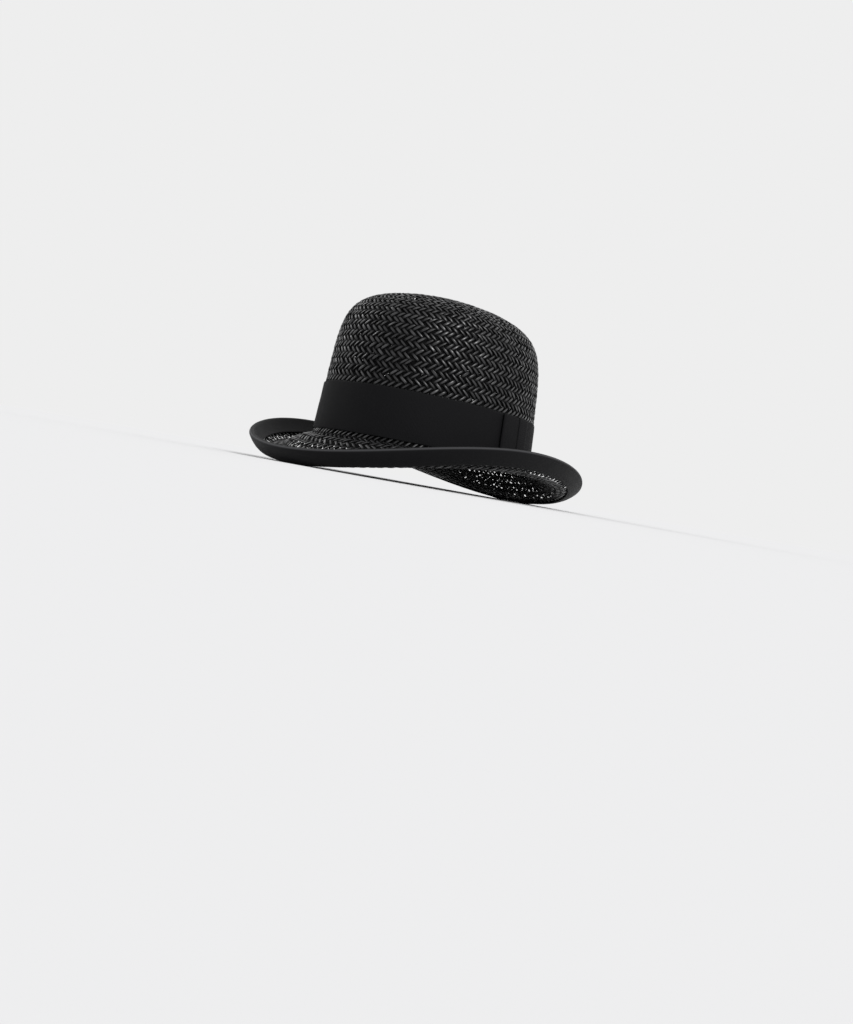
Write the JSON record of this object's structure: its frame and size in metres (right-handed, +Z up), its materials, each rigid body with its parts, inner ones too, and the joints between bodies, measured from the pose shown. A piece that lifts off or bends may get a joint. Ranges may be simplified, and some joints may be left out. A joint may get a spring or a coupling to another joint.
{
  "type": "bowler-crowned straw hat",
  "caption": "Straw hat with a round-shouldered crown, a brim curled up at its sides, a wide ribbon band with a flat bow, and a ribbon-bound edge.",
  "frame": {"origin": "on the surface that the hat stands on, under the middle of its outline", "axes": "+Z up through the crown, -Y towards the front of the hat, +X towards the wearer's left, where the bow lies"},
  "size_m": [0.2634, 0.3164, 0.1607],
  "materials": {
    "straw": "black paper straw in a two-and-two twill weave, semi-gloss",
    "band_ribbon": "black grosgrain ribbon, matt, finely ribbed",
    "bow_ribbon": "black grosgrain ribbon, matt, finely ribbed",
    "knot_ribbon": "black grosgrain ribbon, matt, finely ribbed",
    "binding_ribbon": "black grosgrain ribbon, matt, with a soft sheen on its fold"
  },
  "bodies": {
    "root": {"straw_body": "straw", "hat_band": "band_ribbon", "bow_loop": "bow_ribbon", "bow_knot": "knot_ribbon", "brim_binding": "binding_ribbon"}
  },
  "joints": []
}
